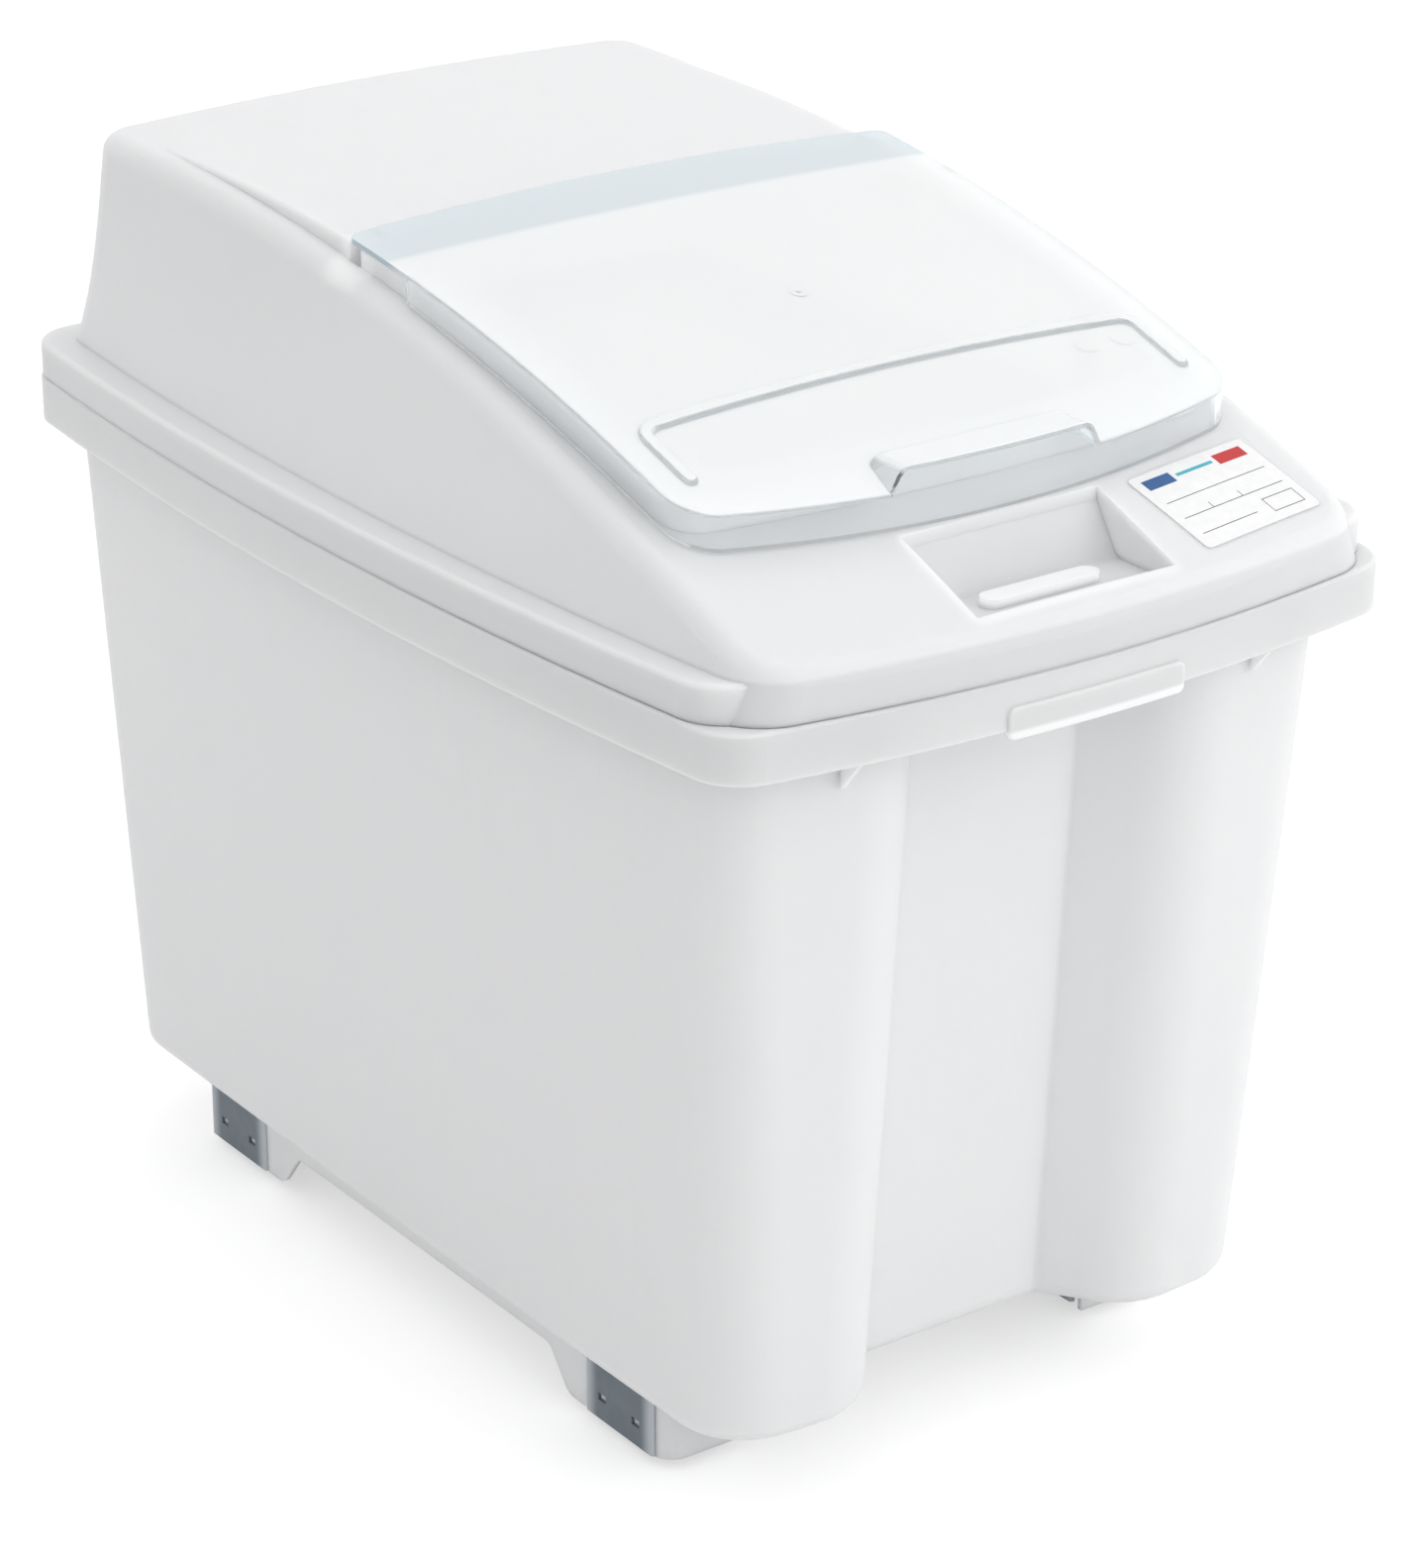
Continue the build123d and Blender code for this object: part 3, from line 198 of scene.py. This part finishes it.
def moulded_white(name, pale, deep, roughness, flow, painted_rim_shade, painted_shade_from, painted_shade_to):
    """White polypropylene: faint clouding, flow streaks, a fine moulded grain and light scuffs.

    Between the two given heights the colour turns darker: painted shade on the rim and flange.
    """
    material, tree, shader, _ = new_material(name)
    plain = coordinates(tree)
    cloud = noise(tree, plain, scale=7.0, detail=4.0, rough=0.55)
    streak = noise(tree, coordinates(tree, flow), scale=22.0, detail=5.0, rough=0.6)
    grain = noise(tree, plain, scale=950.0, detail=2.0)
    scuff = noise(tree, coordinates(tree, (9.0, 9.0, 90.0)), scale=6.0, detail=6.0, rough=0.7)

    base = ramp(tree, cloud, ((0.30, deep), (0.70, pale)))
    streaks = spread(tree, streak, 0.0, 0.45, start=0.45, end=0.80, smooth=True)
    base = blend_colour(tree, streaks, base, deep)
    height = axis_value(tree, "Z")
    low = spread(tree, height, 1.0, 0.0, start=SCUFF_LOW, end=SCUFF_HIGH, smooth=True)
    marks = spread(tree, scuff, 0.0, 0.5, start=0.60, end=0.78, smooth=True)
    worn = math_node(tree, "MULTIPLY", low, marks)
    base = blend_colour(tree, worn, base, tuple(SCUFF_SHADE * c for c in deep))
    # Painted shade: the band of the rim and flange between the two heights is darkened
    above = spread(tree, height, 0.0, 1.0, start=painted_shade_from - BAND_FADE, end=painted_shade_from, smooth=True)
    below = spread(tree, height, 1.0, 0.0, start=painted_shade_to, end=painted_shade_to + BAND_FADE, smooth=True)
    base = blend_colour(tree, math_node(tree, "MULTIPLY", above, below), base, painted_rim_shade)
    tree.links.new(base, shader.inputs["Base Color"])

    sheen = spread(tree, streak, roughness - 0.05, roughness + 0.06, start=0.25, end=0.75)
    sheen = math_node(tree, "ADD", sheen, math_node(tree, "MULTIPLY", worn, 0.2))
    tree.links.new(sheen, shader.inputs["Roughness"])
    wave = bump(tree, cloud, distance=0.004, strength=0.05)
    skin = bump(tree, grain, distance=0.00012, strength=0.30, under=wave)
    tree.links.new(skin, shader.inputs["Normal"])
    shader.inputs["IOR"].default_value = WHITE_IOR
    shader.inputs["Specular IOR Level"].default_value = WHITE_GLOSS
    shader.inputs["Subsurface Weight"].default_value = 1.0
    shader.inputs["Subsurface Radius"].default_value = GLOW_COLOUR
    shader.inputs["Subsurface Scale"].default_value = GLOW_DEPTH
    return material


def clear_sheet(name):
    """Clear polycarbonate with a cool tint in its thickness and hair scratches, and painted shade as a cool
    band along its rear; its level panel is milky.
    """
    material, tree, shader, output = new_material(name)
    scratch = noise(tree, coordinates(tree, (30.0, 2.0, 2.0)), scale=18.0, detail=6.0, rough=0.7)
    cloud = noise(tree, coordinates(tree), scale=9.0)
    tint = ramp(tree, cloud, ((0.3, (0.965, 0.980, 0.987)), (0.7, (0.980, 0.990, 0.994))))
    # Painted shade: a cool band on the cover's rear stands in for the shaded hinge well below it
    rear = axis_value(tree, "Y")
    painted_well_shade_mask = spread(tree, rear, 0.0, 1.0, start=BAND_FRONT, end=BAND_FRONT + BAND_BLUR, smooth=True)
    tree.links.new(blend_colour(tree, painted_well_shade_mask, tint, PAINTED_WELL_SHADE), shader.inputs["Base Color"])
    dull = spread(tree, scratch, 0.025, 0.09, start=0.45, end=0.8)
    tree.links.new(dull, shader.inputs["Roughness"])
    tree.links.new(bump(tree, cloud, distance=0.001, strength=0.04), shader.inputs["Normal"])

    shape = tree.nodes.new("ShaderNodeNewGeometry")
    facing = tree.nodes.new("ShaderNodeSeparateXYZ")
    tree.links.new(shape.outputs["Normal"], facing.inputs["Vector"])
    level = math_node(tree, "ABSOLUTE", facing.outputs["Z"])
    clear = spread(tree, level, SKIRT_CLEAR, PANEL_CLEAR, start=SKIRT_LEVEL, end=PANEL_LEVEL, smooth=True)
    tree.links.new(clear, shader.inputs["Transmission Weight"])
    shader.inputs["IOR"].default_value = SHEET_IOR
    path = tree.nodes.new("ShaderNodeLightPath")
    shadow = spread(tree, path.outputs["Is Shadow Ray"], 1.0, SHEET_SHADOW)
    tree.links.new(shadow, shader.inputs["Alpha"])
    absorb = tree.nodes.new("ShaderNodeVolumeAbsorption")
    absorb.inputs["Color"].default_value = (*SHEET_DEPTH_TINT, 1.0)
    absorb.inputs["Density"].default_value = SHEET_DEPTH
    tree.links.new(absorb.outputs["Volume"], output.inputs["Volume"])
    return material


def moulded_dark(name, pale, deep, roughness):
    """A coloured nylon or rubber: mottled, with a moulded grain."""
    material, tree, shader, _ = new_material(name)
    plain = coordinates(tree)
    cloud = noise(tree, plain, scale=60.0, detail=4.0, rough=0.6)
    grain = noise(tree, plain, scale=1400.0, detail=2.0)
    tree.links.new(ramp(tree, cloud, ((0.30, deep), (0.72, pale))), shader.inputs["Base Color"])
    dull = spread(tree, cloud, roughness - 0.07, roughness + 0.07, start=0.25, end=0.75)
    tree.links.new(dull, shader.inputs["Roughness"])
    tree.links.new(bump(tree, grain, distance=0.0001, strength=0.35), shader.inputs["Normal"])
    return material


def carrier_plate(name, middle):
    """Blue-grey nylon that fades to milky at the two ends of its plate."""
    material, tree, shader, _ = new_material(name)
    plain = coordinates(tree)
    cloud = noise(tree, plain, scale=70.0, detail=4.0, rough=0.6)
    grain = noise(tree, plain, scale=1400.0, detail=2.0)
    base = ramp(tree, cloud, ((0.30, PLATE_DEEP), (0.72, PLATE_PALE)))
    along = math_node(tree, "SUBTRACT", axis_value(tree, "Y"), middle)
    fade = spread(tree, math_node(tree, "ABSOLUTE", along), 0.0, 0.75,
                  start=PLATE_MIDDLE, end=PLATE_END, smooth=True)
    tree.links.new(blend_colour(tree, fade, base, PLATE_MILKY), shader.inputs["Base Color"])
    tree.links.new(spread(tree, cloud, 0.42, 0.56, start=0.25, end=0.75), shader.inputs["Roughness"])
    tree.links.new(bump(tree, grain, distance=0.0001, strength=0.35), shader.inputs["Normal"])
    return material


def drawn_steel(name):
    """Steel rod with fine drawing lines along X."""
    material, tree, shader, _ = new_material(name)
    lines = noise(tree, coordinates(tree, (2.0, 60.0, 60.0)), scale=40.0, detail=5.0, rough=0.65)
    base = ramp(tree, lines, ((0.3, (0.50, 0.51, 0.52)), (0.7, (0.70, 0.71, 0.72))))
    tree.links.new(base, shader.inputs["Base Color"])
    tree.links.new(spread(tree, lines, 0.22, 0.40, start=0.25, end=0.75), shader.inputs["Roughness"])
    tree.links.new(bump(tree, lines, distance=0.00005, strength=0.25), shader.inputs["Normal"])
    shader.inputs["Metallic"].default_value = 1.0
    return material


def film(name, pale, deep, roughness=0.38):
    """A printed film: a faint mottle in the ink and a light orange peel."""
    material, tree, shader, _ = new_material(name)
    cloud = noise(tree, coordinates(tree), scale=160.0, rough=0.6)
    tree.links.new(ramp(tree, cloud, ((0.3, deep), (0.7, pale))), shader.inputs["Base Color"])
    dull = spread(tree, cloud, roughness - 0.05, roughness + 0.07, start=0.25, end=0.75)
    tree.links.new(dull, shader.inputs["Roughness"])
    tree.links.new(bump(tree, cloud, distance=0.0001, strength=0.10), shader.inputs["Normal"])
    return material


def dress(node, material):
    target = NODES[node]
    target.data.materials.clear()
    target.data.materials.append(material)
    target.data.shade_smooth()


# Materials of the imported nodes
# The darker rim colours below are painted shade on the tub rim and the lid flange
TUB_WHITE = moulded_white("tub_polypropylene", pale=(0.930, 0.934, 0.938), deep=(0.905, 0.911, 0.917),
                          roughness=0.40, flow=(6.0, 6.0, 0.6),
                          painted_rim_shade=(0.700, 0.706, 0.712), painted_shade_from=RIM_LOW, painted_shade_to=RIM_HIGH)
LID_WHITE = moulded_white("lid_polypropylene", pale=(0.945, 0.948, 0.951), deep=(0.920, 0.924, 0.929),
                          roughness=0.38, flow=(5.0, 0.8, 5.0),
                          painted_rim_shade=(0.765, 0.770, 0.775), painted_shade_from=RIM_LOW, painted_shade_to=FLANGE_HIGH)
CAP = moulded_dark("cap_nylon", pale=(0.060, 0.065, 0.070), deep=(0.030, 0.033, 0.036), roughness=0.48)
HUB = moulded_dark("hub_nylon", pale=(0.50, 0.51, 0.52), deep=(0.40, 0.41, 0.42), roughness=0.46)
TYRE = moulded_dark("tyre_rubber", pale=(0.030, 0.030, 0.032), deep=(0.016, 0.016, 0.018), roughness=0.68)
STEEL = drawn_steel("drawn_steel")
dress("tub_shell", TUB_WHITE)
dress("lid_hood", LID_WHITE)
dress("clear_cover", clear_sheet("clear_polycarbonate"))
dress("lid_label", film("label_film", pale=(0.90, 0.90, 0.90), deep=(0.84, 0.845, 0.85)))
dress("cover_pin_left", STEEL)
dress("cover_pin_right", STEEL)
dress("axle_caps", CAP)
for corner in CORNERS:
    low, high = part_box("wheel_carrier_" + corner)
    dress("wheel_carrier_" + corner, carrier_plate("carrier_nylon_" + corner, (low.y + high.y) / 2))
    dress("axle_" + corner, STEEL)
    dress("wheel_hub_" + corner, HUB)
    dress("wheel_tyre_" + corner, TYRE)


# Print on the write-on label, laid on the label's own surface
LABEL_CENTRE = (0.126, -0.293)
LABEL_TURN = math.radians(8.0)
LABEL_ALONG = Vector((math.cos(LABEL_TURN), math.sin(LABEL_TURN), 0))
LABEL_ACROSS = Vector((-math.sin(LABEL_TURN), math.cos(LABEL_TURN), 0))
INK_STEP = 0.003
INK_LIFT = 0.00006
INK_SINK = 0.00004
INKS = {
    "ink_black": film("ink_black", pale=(0.035, 0.035, 0.038), deep=(0.020, 0.020, 0.022)),
    "ink_red": film("ink_red", pale=(0.62, 0.020, 0.022), deep=(0.50, 0.014, 0.016)),
    "ink_blue": film("ink_blue", pale=(0.020, 0.115, 0.330), deep=(0.014, 0.085, 0.260)),
    "ink_teal": film("ink_teal", pale=(0.060, 0.470, 0.580), deep=(0.045, 0.380, 0.480)),
}
# Name, ink, then low and high ends along and across the label in metres
PRINT = (
    ("label_band_blue", "ink_blue", -0.037, -0.017, 0.0165, 0.0235),
    ("label_band_teal", "ink_teal", -0.014, 0.013, 0.0190, 0.0210),
    ("label_band_red", "ink_red", 0.016, 0.037, 0.0165, 0.0235),
    ("label_rule_top", "ink_black", -0.037, 0.037, 0.0054, 0.0058),
    ("label_rule_middle", "ink_black", -0.037, 0.037, -0.0068, -0.0064),
    ("label_rule_low", "ink_black", -0.037, 0.004, -0.0190, -0.0186),
    ("label_tick_a", "ink_black", -0.0152, -0.0148, -0.0064, -0.0024),
    ("label_tick_b", "ink_black", 0.0068, 0.0072, -0.0064, -0.0024),
    ("label_box_left", "ink_black", 0.0140, 0.0144, -0.0220, -0.0130),
    ("label_box_right", "ink_black", 0.0366, 0.0370, -0.0220, -0.0130),
    ("label_box_top", "ink_black", 0.0140, 0.0370, -0.0130, -0.0126),
    ("label_box_low", "ink_black", 0.0140, 0.0370, -0.0224, -0.0220),
)


def lay_print(name, ink, u_low, u_high, v_low, v_high, surface):
    """A thin printed rectangle that follows the label's surface."""
    columns = max(1, math.ceil((u_high - u_low) / INK_STEP))
    rows = max(1, math.ceil((v_high - v_low) / INK_STEP))
    shape = bmesh.new()
    tops, lows = [], []
    for row in range(rows + 1):
        v = v_low + (v_high - v_low) * row / rows
        for column in range(columns + 1):
            u = u_low + (u_high - u_low) * column / columns
            spot = Vector((*LABEL_CENTRE, 1.0)) + LABEL_ALONG * u + LABEL_ACROSS * v
            hit, normal, _, _ = surface.ray_cast(spot, Vector((0, 0, -1)))
            tops.append(shape.verts.new(hit + normal * INK_LIFT))
            lows.append(shape.verts.new(hit - normal * INK_SINK))

    # Top and underside, then the wall round the edge
    wide = columns + 1
    for row in range(rows):
        for column in range(columns):
            first = row * wide + column
            around = (first, first + 1, first + 1 + wide, first + wide)
            shape.faces.new([tops[i] for i in around])
            shape.faces.new([lows[i] for i in reversed(around)])
    edge = list(range(wide))
    edge += [row * wide + columns for row in range(1, rows + 1)]
    edge += [rows * wide + column for column in range(columns - 1, -1, -1)]
    edge += [row * wide for row in range(rows - 1, 0, -1)]
    for here, there in zip(edge, edge[1:] + edge[:1]):
        shape.faces.new((tops[there], tops[here], lows[here], lows[there]))

    mesh = bpy.data.meshes.new(name)
    shape.to_mesh(mesh)
    shape.free()
    mesh.materials.append(INKS[ink])
    piece = bpy.data.objects.new(name, mesh)
    bpy.context.scene.collection.objects.link(piece)
    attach(piece, "lid")


label_mesh = NODES["lid_label"].data
label_surface = BVHTree.FromPolygons([v.co for v in label_mesh.vertices],
                                     [tuple(p.vertices) for p in label_mesh.polygons])
for mark in PRINT:
    lay_print(*mark, label_surface)


# Stage: floor, sky, lamps and camera
def seen_directly(tree):
    """1 for rays from the camera, a reflection or a clear sheet, and 0 for light on the object."""
    path = tree.nodes.new("ShaderNodeLightPath")
    direct = math_node(tree, "MAXIMUM", path.outputs["Is Camera Ray"], path.outputs["Is Glossy Ray"])
    return math_node(tree, "MAXIMUM", direct, path.outputs["Is Transmission Ray"])


def mix_shaders(tree, amount, under, over):
    mix = tree.nodes.new("ShaderNodeMixShader")
    tree.links.new(amount, mix.inputs["Fac"])
    tree.links.new(under.outputs[0], mix.inputs[1])
    tree.links.new(over.outputs[0], mix.inputs[2])
    return mix.outputs[0]


def matt(tree, grey):
    node = tree.nodes.new("ShaderNodeBsdfDiffuse")
    node.inputs["Color"].default_value = (grey, grey, grey, 1)
    return node


def make_floor():
    """A pale floor that looks white around the object and keeps its shadow."""
    half = FLOOR_HALF
    mesh = bpy.data.meshes.new("floor")
    mesh.from_pydata([(-half, -half, 0), (half, -half, 0), (half, half, 0), (-half, half, 0)], [],
                     [(0, 1, 2, 3)])
    floor = bpy.data.objects.new("floor", mesh)
    bpy.context.scene.collection.objects.link(floor)
    material = bpy.data.materials.new("floor_pale")
    material.use_nodes = True
    tree = material.node_tree
    tree.nodes.clear()
    output = tree.nodes.new("ShaderNodeOutputMaterial")
    glow = tree.nodes.new("ShaderNodeEmission")
    glow.inputs["Color"].default_value = (1, 1, 1, 1)
    glow.inputs["Strength"].default_value = FLOOR_GLOW
    seen = tree.nodes.new("ShaderNodeAddShader")
    tree.links.new(matt(tree, FLOOR_SEEN).outputs[0], seen.inputs[0])
    tree.links.new(glow.outputs[0], seen.inputs[1])
    both = mix_shaders(tree, seen_directly(tree), matt(tree, FLOOR_BOUNCE), seen)
    tree.links.new(both, output.inputs["Surface"])
    mesh.materials.append(material)


def make_sky():
    """Soft light from all round, a little stronger from SKY_SIDE, in front of a white background."""
    world = bpy.data.worlds.new("studio")
    world.use_nodes = True
    bpy.context.scene.world = world
    tree = world.node_tree
    tree.nodes.clear()
    output = tree.nodes.new("ShaderNodeOutputWorld")
    soft = tree.nodes.new("ShaderNodeBackground")
    soft.inputs["Color"].default_value = (1, 1, 1, 1)
    source = tree.nodes.new("ShaderNodeTexCoord")
    facing = tree.nodes.new("ShaderNodeVectorMath")
    facing.operation = "DOT_PRODUCT"
    facing.inputs[1].default_value = SKY_SIDE
    tree.links.new(source.outputs["Generated"], facing.inputs[0])
    level = spread(tree, facing.outputs["Value"], SKY_LEVEL - SKY_TILT, SKY_LEVEL + SKY_TILT,
                   start=-1.0, end=1.0)
    tree.links.new(level, soft.inputs["Strength"])
    white = tree.nodes.new("ShaderNodeBackground")
    white.inputs["Color"].default_value = (1, 1, 1, 1)
    white.inputs["Strength"].default_value = 1.0
    tree.links.new(mix_shaders(tree, seen_directly(tree), soft, white), output.inputs["Surface"])


def softbox(name, place, target, width, depth, watts):
    """An area lamp that lights the object without a glare of its own."""
    lamp = bpy.data.lights.new(name, "AREA")
    lamp.shape = "RECTANGLE"
    lamp.size = width
    lamp.size_y = depth
    lamp.energy = watts
    item = bpy.data.objects.new(name, lamp)
    item.location = place
    item.rotation_euler = (Vector(target) - Vector(place)).to_track_quat("-Z", "Y").to_euler()
    item.visible_glossy = False
    bpy.context.scene.collection.objects.link(item)


def make_camera():
    lens = bpy.data.cameras.new("view")
    lens.lens = LENS
    lens.sensor_width = SENSOR
    lens.sensor_fit = "AUTO"
    lens.shift_y = SHIFT_Y
    camera = bpy.data.objects.new("view", lens)
    turn = Matrix((VIEW_RIGHT, VIEW_UP, VIEW_BACK)).transposed()
    camera.matrix_world = Matrix.Translation(EYE) @ turn.to_4x4()
    bpy.context.scene.collection.objects.link(camera)
    bpy.context.scene.camera = camera


make_floor()
make_sky()
softbox("key", place=(1.3, -2.6, 1.5), target=(0.0, -0.1, 0.3), width=2.2, depth=1.8, watts=18.0)
softbox("top", place=(0.3, 0.4, 3.0), target=(0.0, 0.0, 0.4), width=2.4, depth=2.4, watts=7.0)
make_camera()
bpy.context.scene.view_settings.view_transform = "Standard"
